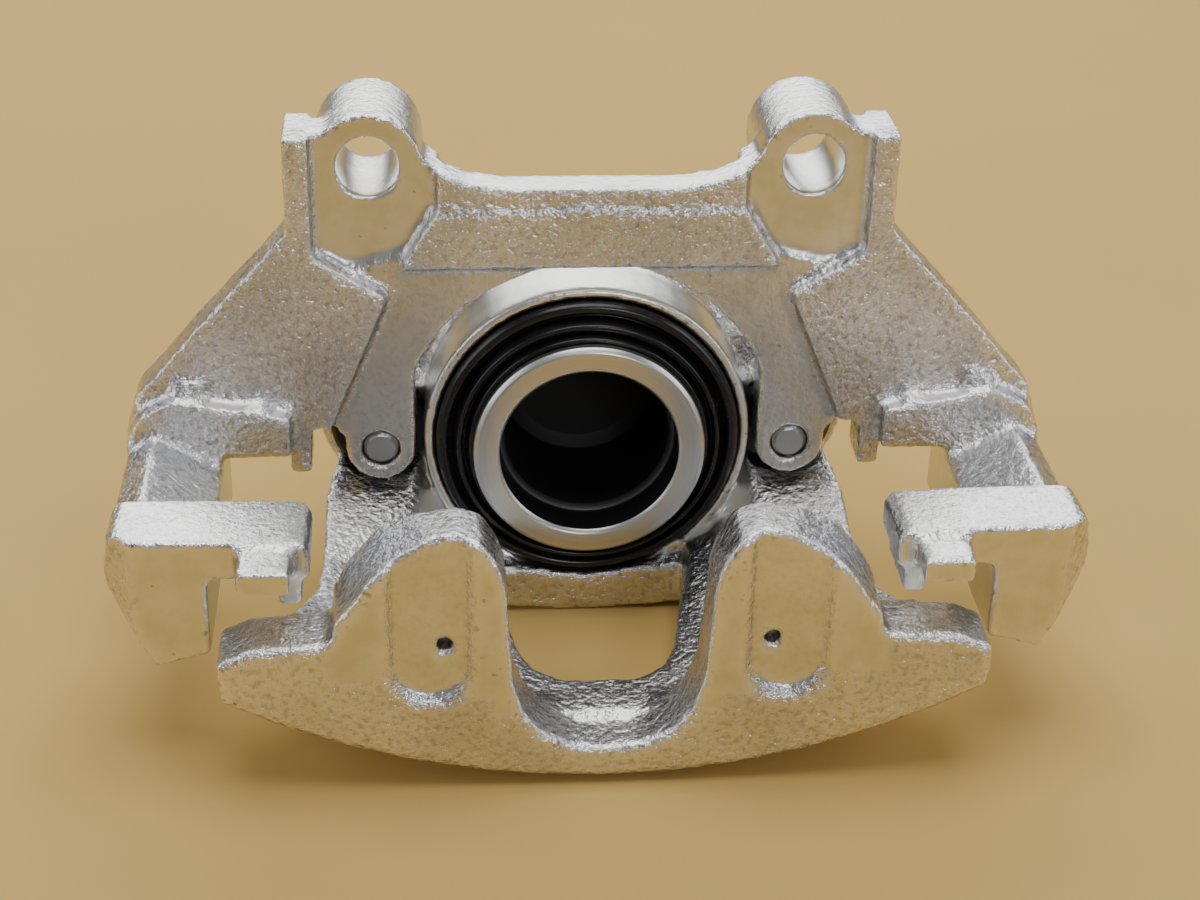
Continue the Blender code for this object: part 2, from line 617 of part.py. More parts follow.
def make_carrier():
    body = make_bar()
    outlines = carrier_outlines()
    mount_z = AXIS_Z + MOUNT_Z
    for side in (-1, 1):
        for name, front, back, outline in outlines:
            placed = [(side * x, AXIS_Z + height) for x, height in outline]
            add(body, prism(name, placed, front, back))
        add(body, rod("mount_boss", side * MOUNT_X, mount_z, MOUNT_BOSS_RADIUS,
                      EAR_FRONT, EAR_FRONT + MOUNT_BOSS_LENGTH, 40))
        cut(body, rod("mount_hole", side * MOUNT_X, mount_z, MOUNT_HOLE_RADIUS,
                      0.0, EAR_FRONT + 2 * MOUNT_BOSS_LENGTH))
        cut(body, rod("thread_hole", side * GUIDE_X, GUIDE_Z, PIN_THREAD_RADIUS + GAP,
                      0.0, 2 * PLATE_BACK, 24))
    body.name = "carrier"
    return zinc(body)


# ---------------------------------------------------------------- hydraulics
def make_piston():
    groove = PISTON_RADIUS - BOOT_GROOVE_DEPTH
    groove_end = BOOT_GROOVE_Y + BOOT_GROOVE_WIDTH
    hollow = PISTON_CUP_RADIUS - 0.0015
    floor_y = PISTON_LENGTH - PISTON_FLOOR
    piston = lathe("piston", [
        (0, PISTON_LENGTH),
        (PISTON_RADIUS - 0.0015, PISTON_LENGTH),
        (PISTON_RADIUS, PISTON_LENGTH - 0.002),
        (PISTON_RADIUS, groove_end),
        (groove, groove_end),
        (groove, BOOT_GROOVE_Y),
        (PISTON_RADIUS, BOOT_GROOVE_Y),
        (PISTON_RADIUS, CHAMFER),
        (PISTON_RADIUS - CHAMFER, 0),
        (PISTON_CUP_RADIUS + 0.0008, 0),
        (PISTON_CUP_RADIUS, 0.0008),
        (PISTON_CUP_RADIUS, PISTON_LIP_DEPTH),
        (hollow, PISTON_LIP_DEPTH + 0.001),
        (hollow, floor_y - 0.002),
        (hollow - 0.003, floor_y),
        (0, floor_y)])
    return steel(pivot(piston, (0, 0, AXIS_Z)))


def make_seal():
    start = MOUTH_Y + SEAL_FROM_MOUTH + GAP
    end = start + SEAL_WIDTH
    outer = BORE_RADIUS + SEAL_HEIGHT
    seal = lathe("piston_seal", [(BORE_RADIUS, start), (outer, start), (outer, end), (BORE_RADIUS, end)])
    return rubber(pivot(seal, (0, start, AXIS_Z)))


def make_boot():
    """A folded rubber ring from the piston's groove to the seat in the cylinder's mouth."""
    inner = PISTON_RADIUS - BOOT_GROOVE_DEPTH + GAP
    bead = BOOT_SEAT_RADIUS - GAP
    root = MOUTH_Y + BOOT_SEAT_DEPTH - GAP
    lip_y = BOOT_GROOVE_Y + GAP
    lip_end = BOOT_GROOVE_Y + BOOT_GROOVE_WIDTH - GAP

    def fold(out, share):
        """A point this far outside the piston, at a share of the way from groove to mouth."""
        return (PISTON_RADIUS + out, BOOT_GROOVE_Y + share * (MOUTH_Y - BOOT_GROOVE_Y))

    profile = [(bead, root), (bead, MOUTH_Y - 0.0006), (bead - 0.0012, MOUTH_Y - 0.0016)]
    profile += [fold(0.0067, 0.56), fold(0.0060, 0.68), fold(0.0053, 1.04), fold(0.0045, 0.60),
                fold(0.0035, 0.24), fold(0.0027, 0.36), fold(0.0021, 0.72), fold(0.0015, 0.40)]
    profile += [(PISTON_RADIUS + 0.0009, lip_y), (inner, lip_y),
                (inner, lip_end), (PISTON_RADIUS + 0.0007, lip_end)]
    profile += [fold(0.0014, 0.84), fold(0.0021, 1.08), fold(0.0030, 0.72), fold(0.0035, 0.60),
                fold(0.0042, 0.96), fold(0.0053, 1.36), fold(0.0061, 1.04), fold(0.0067, 0.96)]
    profile += [(bead - 0.0028, root)]
    return rubber(pivot(lathe("dust_boot", profile), (0, MOUTH_Y, AXIS_Z)))


# ---------------------------------------------------------------- guides
def make_pin(name, x):
    start = PLATE_BACK + GAP
    end = start + PIN_LENGTH
    tip = LEG_FRONT + GAP
    pin = lathe("guide_pin_" + name, [
        (0, tip),
        (PIN_THREAD_RADIUS - 0.0009, tip),
        (PIN_THREAD_RADIUS, tip + 0.0010),
        (PIN_THREAD_RADIUS, start),
        (PIN_RADIUS, start),
        (PIN_RADIUS, end - PIN_CHAMFER),
        (PIN_RADIUS - PIN_CHAMFER, end),
        (0, end)], x, GUIDE_Z, 32)
    socket = lathe("socket", plug(SOCKET_RADIUS, end - SOCKET_DEPTH, end + SOCKET_DEPTH), x, GUIDE_Z, 6)
    return steel(pivot(cut(pin, socket), (x, start, GUIDE_Z)))


def make_bush(name, x):
    """A plastic liner and the rubber bush around it, held in the ear by two flanges."""
    liner = lathe("guide_liner_" + name, [
        (LINER_IN, EAR_FRONT_Y), (LINER_OUT, EAR_FRONT_Y), (LINER_OUT, EAR_BACK_Y), (LINER_IN, EAR_BACK_Y)],
        x, GUIDE_Z, 32)
    paint(pivot(liner, (x, EAR_FRONT_Y, GUIDE_Z)), (0.75, 0.74, 0.70), 0.4, 0.0)
    front = PLATE_BACK + LEG_TO_BUSH
    wiper = PIN_RADIUS + 2 * GAP
    wiper_end = EAR_FRONT_Y - BUSH_FRONT_LENGTH / 2
    flange = EAR_BORE + BUSH_FRONT_FLANGE
    collar = EAR_BORE + BUSH_REAR_FLANGE
    bush = lathe("guide_bush_" + name, [
        (BUSH_IN, wiper_end),
        (wiper, wiper_end),
        (wiper, front),
        (flange - 0.001, front),
        (flange, front + 0.001),
        (flange, EAR_FRONT_Y - GAP),
        (BUSH_OUT, EAR_FRONT_Y - GAP),
        (BUSH_OUT, EAR_BACK_Y + GAP),
        (collar, EAR_BACK_Y + GAP),
        (collar, EAR_BACK_Y + BUSH_REAR_LENGTH),
        (BUSH_IN, EAR_BACK_Y + BUSH_REAR_LENGTH)], x, GUIDE_Z, 32)
    return rubber(pivot(bush, (x, EAR_FRONT_Y, GUIDE_Z)))


def make_pin_cap(name, x):
    start = EAR_BACK_Y + BUSH_REAR_LENGTH + GAP
    end = start + CAP_LENGTH
    cap = lathe("pin_cap_" + name, [
        (0, end - CAP_WALL),
        (BUSH_IN, end - CAP_WALL),
        (BUSH_IN, start),
        (BUSH_OUT + 0.0008, start),
        (BUSH_OUT + 0.0008, start + CAP_COLLAR),
        (BUSH_OUT - 0.0010, start + CAP_COLLAR + 0.0010),
        (BUSH_OUT - 0.0016, end - 0.0015),
        (BUSH_OUT - 0.0030, end),
        (0, end)], x, GUIDE_Z, 32)
    return paint(pivot(cap, (x, start, GUIDE_Z)), (0.02, 0.02, 0.02), 0.5, 0.0)


# ---------------------------------------------------------------- bleeding
def make_bleeder():
    hex_start = BLEED_BOSS_TOP + 0.0022
    hex_end = hex_start + BLEED_HEX_HEIGHT
    top = hex_end + NIPPLE_LENGTH
    neck = NIPPLE_RADIUS - NIPPLE_NECK
    screw = upright("bleed_screw", [
        (0, BLEED_SEAT),
        (0.0010, BLEED_SEAT),
        (BLEED_THREAD_RADIUS, BLEED_SEAT + 0.0025),
        (BLEED_THREAD_RADIUS, hex_start + 0.0020),
        (neck, hex_start + 0.0025),
        (neck, hex_end + 0.0030),
        (NIPPLE_RADIUS, hex_end + 0.0045),
        (NIPPLE_RADIUS - 0.0006, top),
        (0, top)])
    hexagon = upright("hexagon", plug(BLEED_HEX_RADIUS, hex_start, hex_end), 6)
    steel(pivot(add(screw, hexagon), BLEED_FOOT))
    inner = NIPPLE_RADIUS + GAP
    outer = inner + CAP_WALL
    start = hex_end + GAP
    ceiling = top + GAP
    cap = upright("bleed_cap", [
        (0, ceiling),
        (inner, ceiling),
        (inner, start),
        (outer + 0.0006, start),
        (outer, start + 0.0020),
        (outer, top),
        (inner, ceiling + CAP_WALL),
        (0, ceiling + CAP_WALL)])
    return rubber(pivot(cap, BLEED_FOOT))


def build():
    clear_scene()
    make_carrier()
    make_housing()
    make_piston()
    make_seal()
    make_boot()
    for name, side in SIDES:
        make_pin(name, side * GUIDE_X)
        make_bush(name, side * GUIDE_X)
        make_pin_cap(name, side * GUIDE_X)
    make_bleeder()


build()
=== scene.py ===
# %% [markdown]
# # The looks of a floating brake caliper
#
# A floating caliper is two rough iron castings with a zinc finish, and a handful of turned
# pieces between them. The sizes and the joints are settled in the frame that is loaded
# here. This lesson dresses that frame: it gives the castings their rounded edges and their
# sandy skin, turns the piston and the rubber pieces finely, and paints every surface.

# %% Load the frame
import math

import bmesh
import bpy
import numpy as np
from mathutils import Matrix, Vector


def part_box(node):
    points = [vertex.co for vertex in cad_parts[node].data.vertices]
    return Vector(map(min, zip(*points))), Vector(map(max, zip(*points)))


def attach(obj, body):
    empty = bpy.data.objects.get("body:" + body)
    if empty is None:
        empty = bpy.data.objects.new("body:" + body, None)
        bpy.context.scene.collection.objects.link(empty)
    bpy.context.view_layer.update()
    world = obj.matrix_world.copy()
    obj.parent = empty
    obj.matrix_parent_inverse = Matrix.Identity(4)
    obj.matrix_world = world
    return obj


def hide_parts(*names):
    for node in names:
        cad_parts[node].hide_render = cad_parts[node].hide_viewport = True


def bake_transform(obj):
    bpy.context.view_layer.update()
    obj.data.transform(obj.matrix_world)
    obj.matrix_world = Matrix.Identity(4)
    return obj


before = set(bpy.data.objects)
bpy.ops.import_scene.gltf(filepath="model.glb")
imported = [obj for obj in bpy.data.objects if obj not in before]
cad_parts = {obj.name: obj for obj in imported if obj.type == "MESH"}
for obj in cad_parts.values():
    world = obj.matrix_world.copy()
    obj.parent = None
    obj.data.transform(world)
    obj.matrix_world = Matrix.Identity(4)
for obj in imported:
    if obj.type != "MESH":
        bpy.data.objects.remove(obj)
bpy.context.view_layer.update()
MM = 0.001
piston_low, piston_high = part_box("piston")
AXIS_Z = (piston_low.z + piston_high.z) / 2
print("frame:", len(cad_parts), "nodes, piston axis", round(AXIS_Z / MM, 2), "mm up")

# %% [markdown]
# ## Camera
# The camera stands in front of the fingers, a little to the left, and looks down at about
# thirty degrees. It comes first, because everything is judged through it.

# %% Camera
CAMERA_PLACE = (-0.0388, -0.4704, AXIS_Z + 0.2608)
CAMERA_DOWN = 0.5029
CAMERA_PAN = 0.0875
CAMERA_ROLL = 0.0257
camera_data = bpy.data.cameras.new("camera")
camera_data.lens = 66.03
camera_data.sensor_width = 36.0
camera_data.clip_start = 0.01
camera = bpy.data.objects.new("camera", camera_data)
bpy.context.scene.collection.objects.link(camera)
camera.matrix_world = (Matrix.Translation(CAMERA_PLACE)
                       @ Matrix.Rotation(-CAMERA_PAN, 4, "Z")
                       @ Matrix.Rotation(math.pi / 2 - CAMERA_DOWN, 4, "X")
                       @ Matrix.Rotation(CAMERA_ROLL, 4, "Z"))
bpy.context.scene.camera = camera
print("camera:", [round(value, 3) for value in camera.location])

# %% [markdown]
# ## Writing node trees as sums
# A material is easier to read as arithmetic than as a list of links. `Wire` wraps one
# output socket and turns +, -, * and / into Math nodes. `Tree.node` adds any other node:
# its settings go in first, then the values or links of its sockets.

# %% Node helpers
class Wire:
    """One output socket that can be used in ordinary arithmetic."""

    def __init__(self, tree, socket):
        self.tree = tree
        self.socket = socket

    def math(self, operation, first, second=0.0):
        return self.tree.node("ShaderNodeMath", {"operation": operation}, {0: first, 1: second})

    def __add__(self, other):
        return self.math("ADD", self, other)

    def __radd__(self, other):
        return self.math("ADD", other, self)

    def __sub__(self, other):
        return self.math("SUBTRACT", self, other)

    def __rsub__(self, other):
        return self.math("SUBTRACT", other, self)

    def __mul__(self, other):
        return self.math("MULTIPLY", self, other)

    def __rmul__(self, other):
        return self.math("MULTIPLY", other, self)


class Tree:
    """A node tree that is filled one node at a time."""

    def __init__(self, tree):
        self.tree = tree
        tree.nodes.clear()

    def node(self, kind, settings=None, inputs=None, out=0):
        made = self.tree.nodes.new(kind)
        for name, value in (settings or {}).items():
            if name == "stops":
                ramp = made.color_ramp
                for place, colour in value[1:-1]:
                    ramp.elements.new(place).color = (*colour, 1)
                for element, (place, colour) in zip((ramp.elements[0], ramp.elements[-1]),
                                                    (value[0], value[-1])):
                    element.position = place
                    element.color = (*colour, 1)
            else:
                setattr(made, name, value)
        for key, value in (inputs or {}).items():
            socket = made.inputs[key]
            if isinstance(value, Wire):
                self.tree.links.new(value.socket, socket)
            else:
                socket.default_value = value
        return Wire(self, made.outputs[out]) if len(made.outputs) else made

    def noise(self, place, scale, detail=3.0, roughness=0.5):
        return self.node("ShaderNodeTexNoise", {}, {
            "Vector": place, "Scale": scale, "Detail": detail, "Roughness": roughness})

    def step(self, value, low, high):
        """0 below low, 1 above high, and a smooth rise between them."""
        return self.node("ShaderNodeMapRange", {"interpolation_type": "SMOOTHSTEP"}, {
            "Value": value, "From Min": low, "From Max": high})

    def mix(self, share, first, second):
        return self.node("ShaderNodeMix", {"data_type": "RGBA"}, {
            "Factor": share, 6: first, 7: second}, out=2)


def surface(name):
    """A new material and its empty tree."""
    material = bpy.data.materials.new(name)
    material.use_nodes = True
    return material, Tree(material.node_tree)


def finish_surface(tree, inputs):
    shader = tree.node("ShaderNodeBsdfPrincipled", {}, inputs)
    tree.node("ShaderNodeOutputMaterial", {}, {"Surface": shader})


def bump(tree, height, depth, strength=1.0):
    return tree.node("ShaderNodeBump", {}, {"Height": height, "Distance": depth, "Strength": strength})


print("node helpers ready")

# %% [markdown]
# ## Zinc on cast iron
# Both castings are zinc plated over a sandy skin. The skin is full of tiny facets that
# glint, so the roughness is low and the bump is strong and fine. Where a cutter has
# passed, the plating lies on smooth metal, so it is calmer. The skin's colour is painted
# darker in the hollows of its grain, as painted shade. Two attributes, written when a
# casting is made, steer this: `machined` is 1 on smooth faces, and `edge` is 1 on the
# outward edges, which get a painted highlight and hold a few dark pits.

# %% Zinc material
def make_zinc():
    material, tree = surface("zinc_on_cast_iron")
    place = tree.node("ShaderNodeTexCoord", out="Object")
    machined = tree.node("ShaderNodeAttribute", {"attribute_name": "machined"}, out="Fac")
    edge = tree.node("ShaderNodeAttribute", {"attribute_name": "edge"}, out="Fac")
    cast = 1 - machined
    cloud = tree.noise(place, 45, 3)
    grain = tree.noise(place, 620, 3, 0.55)
    sparkle = tree.noise(place, 2300, 2, 0.6)
    patch = tree.noise(place, 130, 4, 0.6)
    pit = tree.step(tree.noise(place, 480, 2, 0.4), 0.64, 0.72)
    few = tree.step(tree.noise(place, 330, 1, 0.4), 0.78, 0.82)
    tone = tree.mix(tree.step(cloud, 0.35, 0.65), (0.66, 0.66, 0.67, 1), (0.80, 0.80, 0.79, 1))
    # Painted shade: the cast colour goes darker in the hollows of the grain.
    cast_colour = tree.mix(tree.step(grain, 0.30, 0.55) * 0.5 + 0.5, (0.30, 0.30, 0.31, 1), tone)
    cut_colour = tree.mix(tree.step(patch, 0.35, 0.65), (0.68, 0.67, 0.60, 1), (0.76, 0.76, 0.71, 1))
    colour = tree.mix(machined, cast_colour, cut_colour)
    # Painted highlight: the outward edges are lightened towards near white.
    bright = tree.mix(edge * 0.55, colour, (0.93, 0.93, 0.92, 1))
    dark = tree.mix(edge * pit * 0.6 + few * 0.5, bright, (0.10, 0.095, 0.09, 1))
    roughness = cast * (0.19 + 0.12 * sparkle) + machined * (0.27 + 0.10 * patch)
    height = cast * (grain + sparkle * 0.10) + machined * (sparkle * 0.03 + patch * 0.05) + edge * grain * 0.3
    finish_surface(tree, {"Base Color": dark, "Metallic": 1.0, "Roughness": roughness,
                          "Normal": bump(tree, height, 0.65 * MM)})
    return material


zinc = make_zinc()
print("material:", zinc.name)

# %% [markdown]
# ## Turned steel, rubber and plastic
# The piston is turned, so its marks run round the axis: noise on the distance from the
# axis gives them. The rim is bare and bright, the land inside it is darkened as a painted
# reflection, and the deep part of the cup is painted near black as painted shade, dull and
# not metallic. Rubber is nearly black with a soft shine.

# %% Turned steel materials
def turned_lines(tree, centre):
    """The distance from a piece's axis, the place along it and the fine turning marks."""
    place = tree.node("ShaderNodeTexCoord", out="Object")
    mapped = tree.node("ShaderNodeMapping", {}, {"Vector": place, "Location": (-centre[0], 0, -centre[1])})
    across = tree.node("ShaderNodeVectorMath", {"operation": "MULTIPLY"}, {0: mapped, 1: (1, 0, 1)})
    radius = tree.node("ShaderNodeVectorMath", {"operation": "LENGTH"}, {0: across}, out="Value")
    along = tree.node("ShaderNodeSeparateXYZ", {}, {0: mapped}, out="Y")
    lines = tree.node("ShaderNodeTexNoise", {"noise_dimensions": "1D"}, {
        "W": (radius + along) * 2600, "Scale": 1.0, "Detail": 3.0})
    return place, radius, along, lines


def make_piston_steel():
    material, tree = surface("turned_piston_steel")
    place, radius, along, lines = turned_lines(tree, (0.0, AXIS_Z))
    cloud = tree.noise(place, 70, 2)
    inside = 1 - tree.step(radius, 22.0 * MM, 22.4 * MM)
    land = inside * tree.step(along, 0.7 * MM, 1.0 * MM)
    deep = inside * tree.step(along, 9.6 * MM, 10.8 * MM)
    rim = tree.mix(lines, (0.52, 0.52, 0.51, 1), (0.66, 0.66, 0.65, 1))
    # Painted reflection and shade: the land inside the cup is darkened, and the deep cup is painted near
    # black.
    shaded = tree.mix(land, rim, (0.20, 0.20, 0.205, 1))
    colour = tree.mix(deep, shaded, (0.006, 0.006, 0.007, 1))
    roughness = 0.24 + 0.10 * lines + 0.08 * cloud + deep * 0.3
    finish_surface(tree, {"Base Color": colour, "Metallic": 1 - deep, "Roughness": roughness,
                          "Normal": bump(tree, lines, 0.02 * MM)})
    return material


def make_plain_steel():
    material, tree = surface("bright_screw_steel")
    place = tree.node("ShaderNodeTexCoord", out="Object")
    cloud = tree.noise(place, 160, 3)
    grain = tree.noise(place, 1800, 2)
    colour = tree.mix(cloud, (0.46, 0.46, 0.46, 1), (0.62, 0.62, 0.61, 1))
    finish_surface(tree, {"Base Color": colour, "Metallic": 1.0, "Roughness": 0.24 + 0.16 * cloud,
                          "Normal": bump(tree, grain, 0.03 * MM)})
    return material


piston_steel = make_piston_steel()
screw_steel = make_plain_steel()


# %% Rubber and plastic materials
def make_rubber(name, colour, rough):
    material, tree = surface(name)
    place = tree.node("ShaderNodeTexCoord", out="Object")
    grain = tree.noise(place, 1500, 3)
    film = tree.noise(place, 90, 3)
    pale = tuple(value * 1.8 + 0.002 for value in colour)
    shade = tree.mix(tree.step(film, 0.45, 0.8), (*colour, 1), (*pale, 1))
    finish_surface(tree, {"Base Color": shade, "Metallic": 0.0,
                          "Roughness": rough + 0.12 * film, "Normal": bump(tree, grain, 0.03 * MM)})
    return material


rubber = make_rubber("black_rubber", (0.005, 0.005, 0.006), 0.20)
cap_plastic = make_rubber("cap_plastic", (0.012, 0.012, 0.013), 0.36)
liner_plastic = make_rubber("liner_plastic", (0.55, 0.54, 0.50), 0.35)
print("materials:", [item.name for item in (piston_steel, screw_steel, rubber, cap_plastic, liner_plastic)])


# %% [markdown]
# ## Mesh helpers
# Castings start from the frame's own solids. Small raised details, such as a cast pad or a
# ridge, are closed prisms that sink into the casting, and remeshing welds them on.

# %% Mesh helpers
def place_object(name, mesh, material):
    item = bpy.data.objects.new(name, mesh)
    bpy.context.scene.collection.objects.link(item)
    mesh.materials.clear()
    mesh.materials.append(material)
    return item


def merged_copy(node):
    """A frame node's shape, with its loose triangles joined at their corners."""
    work = bmesh.new()
    work.from_mesh(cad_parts[node].data)
    bmesh.ops.remove_doubles(work, verts=work.verts, dist=1e-6)
    return work


def add_prism(work, outline, start, end, taper=0.0):
    """A closed bar along Y with an outline in X and height above the piston axis, in mm."""
    middle = np.mean(np.array(outline), axis=0)
    rings = []
    for y, scale in ((start, 1 - taper), (end, 1.0)):
        ring = []
        for x, z in outline:
            x = middle[0] + (x - middle[0]) * scale
            z = middle[1] + (z - middle[1]) * scale
            ring.append(work.verts.new((x * MM, y * MM, AXIS_Z + z * MM)))
        rings.append(ring)
    faces = [work.faces.new(rings[0]), work.faces.new(rings[1])]
    count = len(outline)
    for i in range(count):
        j = (i + 1) % count
        faces.append(work.faces.new((rings[0][i], rings[0][j], rings[1][j], rings[1][i])))
    bmesh.ops.recalc_face_normals(work, faces=faces)
    return faces


def triangle_count(mesh):
    mesh.calc_loop_triangles()
    return len(mesh.loop_triangles)


print("mesh helpers ready")

# %% [markdown]
# ## From a sharp solid to a casting
# A casting has no sharp corner, because sand can't hold one. A fine voxel remesh followed
# by smoothing rounds every edge by about a millimetre and also fills the inner corners
# with a fillet. A Geometry Nodes tree then lays the sandy skin on, everywhere except where
# the `machined` attribute says that a cutter has passed.

# %% Sandy skin as Geometry Nodes
def make_skin_tree():
    group = bpy.data.node_groups.new("sandy_skin", "GeometryNodeTree")
    group.interface.new_socket("Geometry", in_out="INPUT", socket_type="NodeSocketGeometry")
    for name in ("Coarse Height", "Coarse Size", "Fine Height", "Fine Size"):
        group.interface.new_socket(name, in_out="INPUT", socket_type="NodeSocketFloat")
    group.interface.new_socket("Material", in_out="INPUT", socket_type="NodeSocketMaterial")
    group.interface.new_socket("Geometry", in_out="OUTPUT", socket_type="NodeSocketGeometry")
    tree = Tree(group)
    given = group.nodes.new("NodeGroupInput")

    def value(name):
        return Wire(tree, given.outputs[name])

    machined = tree.node("GeometryNodeInputNamedAttribute", {"data_type": "FLOAT"}, {"Name": "machined"})
    place = tree.node("GeometryNodeInputPosition")
    normal = tree.node("GeometryNodeInputNormal")

    def layer(height, size):
        shape = tree.node("ShaderNodeTexNoise", {}, {
            "Vector": place, "Scale": tree.node("ShaderNodeMath", {"operation": "DIVIDE"}, {0: 1.0, 1: size}),
            "Detail": 2.0, "Roughness": 0.5})
        return (shape - 0.55) * height

    rise = (layer(value("Coarse Height"), value("Coarse Size"))
            + layer(value("Fine Height"), value("Fine Size"))) * (1 - machined)
    offset = tree.node("ShaderNodeVectorMath", {"operation": "SCALE"}, {0: normal, "Scale": rise})
    moved = tree.node("GeometryNodeSetPosition", {}, {"Geometry": value("Geometry"), "Offset": offset})
    real = tree.node("GeometryNodeRealizeInstances", {}, {0: moved})
    painted = tree.node("GeometryNodeSetMaterial", {}, {"Geometry": real, "Material": value("Material")})
    tree.node("NodeGroupOutput", {}, {"Geometry": painted})
    return group


skin_tree = make_skin_tree()


def use_tree(item, group, values):
    """Give an object a Geometry Nodes modifier and set its inputs by their identifiers."""
    modifier = item.modifiers.new(group.name, "NODES")
    modifier.node_group = group
    for entry in group.interface.items_tree:
        if entry.item_type == "SOCKET" and entry.in_out == "INPUT" and entry.name in values:
            modifier[entry.identifier] = values[entry.name]
    return modifier


def settle(item):
    """Turn the object and its modifiers into one plain mesh."""
    graph = bpy.context.evaluated_depsgraph_get()
    mesh = bpy.data.meshes.new_from_object(item.evaluated_get(graph))
    item.modifiers.clear()
    item.data = mesh
    return item


print("tree:", skin_tree.name)


# %% Casting helper
def smooth_share(points, normals, areas):
    """How machined each point is. An area is a box in mm, a facing direction and a share."""
    sides = np.where(points[:, :1] < 0, -1.0, 1.0)
    points = points * np.concatenate((sides, np.ones((len(points), 2))), axis=1)
    normals = normals * np.concatenate((sides, np.ones((len(points), 2))), axis=1)
    share = np.zeros(len(points))
    for low, high, facing, amount in areas:
        inside = np.all((points >= np.array(low)) & (points <= np.array(high)), axis=1)
        if facing is not None:
            inside = inside * np.clip((normals @ np.array(facing) - 0.80) / 0.15, 0, 1)
        share = np.maximum(share, inside * amount)
    return share


def neighbour_mean(mesh, values):
    """The mean of each vertex's neighbours, for one value or one point per vertex."""
    ends = np.zeros(len(mesh.edges) * 2, dtype=np.int64)
    mesh.edges.foreach_get("vertices", ends)
    ends = ends.reshape(-1, 2)
    here = np.concatenate((ends[:, 0], ends[:, 1]))
    there = np.concatenate((ends[:, 1], ends[:, 0]))
    count = np.maximum(np.bincount(here, minlength=len(values)), 1)
    columns = [np.bincount(here, weights=values[there, k], minlength=len(values)) / count
               for k in range(values.shape[1])]
    return np.stack(columns, axis=1)


AXIS_MM = np.array((0, 0, AXIS_Z / MM))


def read_points(mesh):
    """Points in mm about the piston axis, and their normals."""
    points = np.zeros(len(mesh.vertices) * 3)
    mesh.vertices.foreach_get("co", points)
    normals = np.zeros(len(mesh.vertices) * 3)
    mesh.vertices.foreach_get("normal", normals)
    return points.reshape(-1, 3) / MM - AXIS_MM, normals.reshape(-1, 3)


def write_points(mesh, points):
    mesh.vertices.foreach_set("co", ((points + AXIS_MM) * MM).ravel())


def write_layer(mesh, name, values):
    layer = mesh.attributes.new(name, "FLOAT", "POINT")
    layer.data.foreach_set("value", values.astype(np.float32))


def cast(name, work, voxel, rounding, keep, areas, heights, shape=None, bore=None):
    """Remesh, round, thin out, mark the machined faces and edges, and lay the sandy skin."""
    mesh = bpy.data.meshes.new(name)
    work.to_mesh(mesh)
    work.free()
    item = place_object(name, mesh, zinc)
    remesh = item.modifiers.new("sand", "REMESH")
    remesh.mode = "VOXEL"
    remesh.voxel_size = voxel
    settle(item)
    if shape:
        write_points(item.data, shape(read_points(item.data)[0]))
    soften = item.modifiers.new("rounding", "SMOOTH")
    soften.factor = 0.5
    soften.iterations = rounding
    thin = item.modifiers.new("thin", "DECIMATE")
    thin.ratio = keep
    settle(item)
    points, normals = read_points(item.data)
    machined = smooth_share(points, normals, areas)[:, None]
    if bore:
        bored = bore(points)
        write_points(item.data, points)
        machined[bored] = 1.0
    # The edge layer marks outward edges, where the zinc material paints a highlight.
    edge = np.sum((points - neighbour_mean(item.data, points)) * normals, axis=1, keepdims=True)
    edge = np.clip(edge / 0.09 - 0.25, 0, 1)
    for _ in range(2):
        machined = 0.4 * machined + 0.6 * neighbour_mean(item.data, machined)
        if bore:
            machined[bored] = 1.0
        edge = 0.5 * edge + 0.5 * neighbour_mean(item.data, edge)
    write_layer(item.data, "machined", machined[:, 0])
    write_layer(item.data, "edge", np.clip(edge[:, 0] * 1.3, 0, 1))
    use_tree(item, skin_tree, {
        "Coarse Height": heights[0] * MM, "Coarse Size": heights[1] * MM,
        "Fine Height": heights[2] * MM, "Fine Size": heights[3] * MM, "Material": zinc})
    settle(item)
    item.data.shade_smooth()
    print(name, triangle_count(item.data), "triangles,", round(float(machined.mean()), 2), "machined,",
          round(float(edge.mean()), 2), "edge")
    return item


# %% [markdown]
# ## The carrier
# The carrier bolts to the hub. Ridges, little ledges and a cast pad stand on the bar and
# on the side plates. They are added as prisms before the remesh. The outer blocks' front
# corners slope back, which is done by pushing every point back to one slanting plane.

# %% Carrier casting
BLOCK_FRONT = -53.5


def slope_block_corners(points):
    """Push the outer blocks' front outer corners back to a slanting plane."""
    across = np.abs(points[:, 0])
    corner = np.interp(points[:, 2], (-23.0, -11.0, 5.0), (102.7, 105.0, 105.3))
    outward, forward = 0.698, 0.716
    past = outward * (across - corner) - forward * (points[:, 1] - BLOCK_FRONT)
    past = np.where((points[:, 1] < -36) & (across > 98), np.maximum(past, 0), 0)
    across = across - outward * past
    return np.stack((np.sign(points[:, 0]) * across, points[:, 1] + forward * past, points[:, 2]), axis=1)


def mirrored(outline):
    return [(-x, z) for x, z in outline]


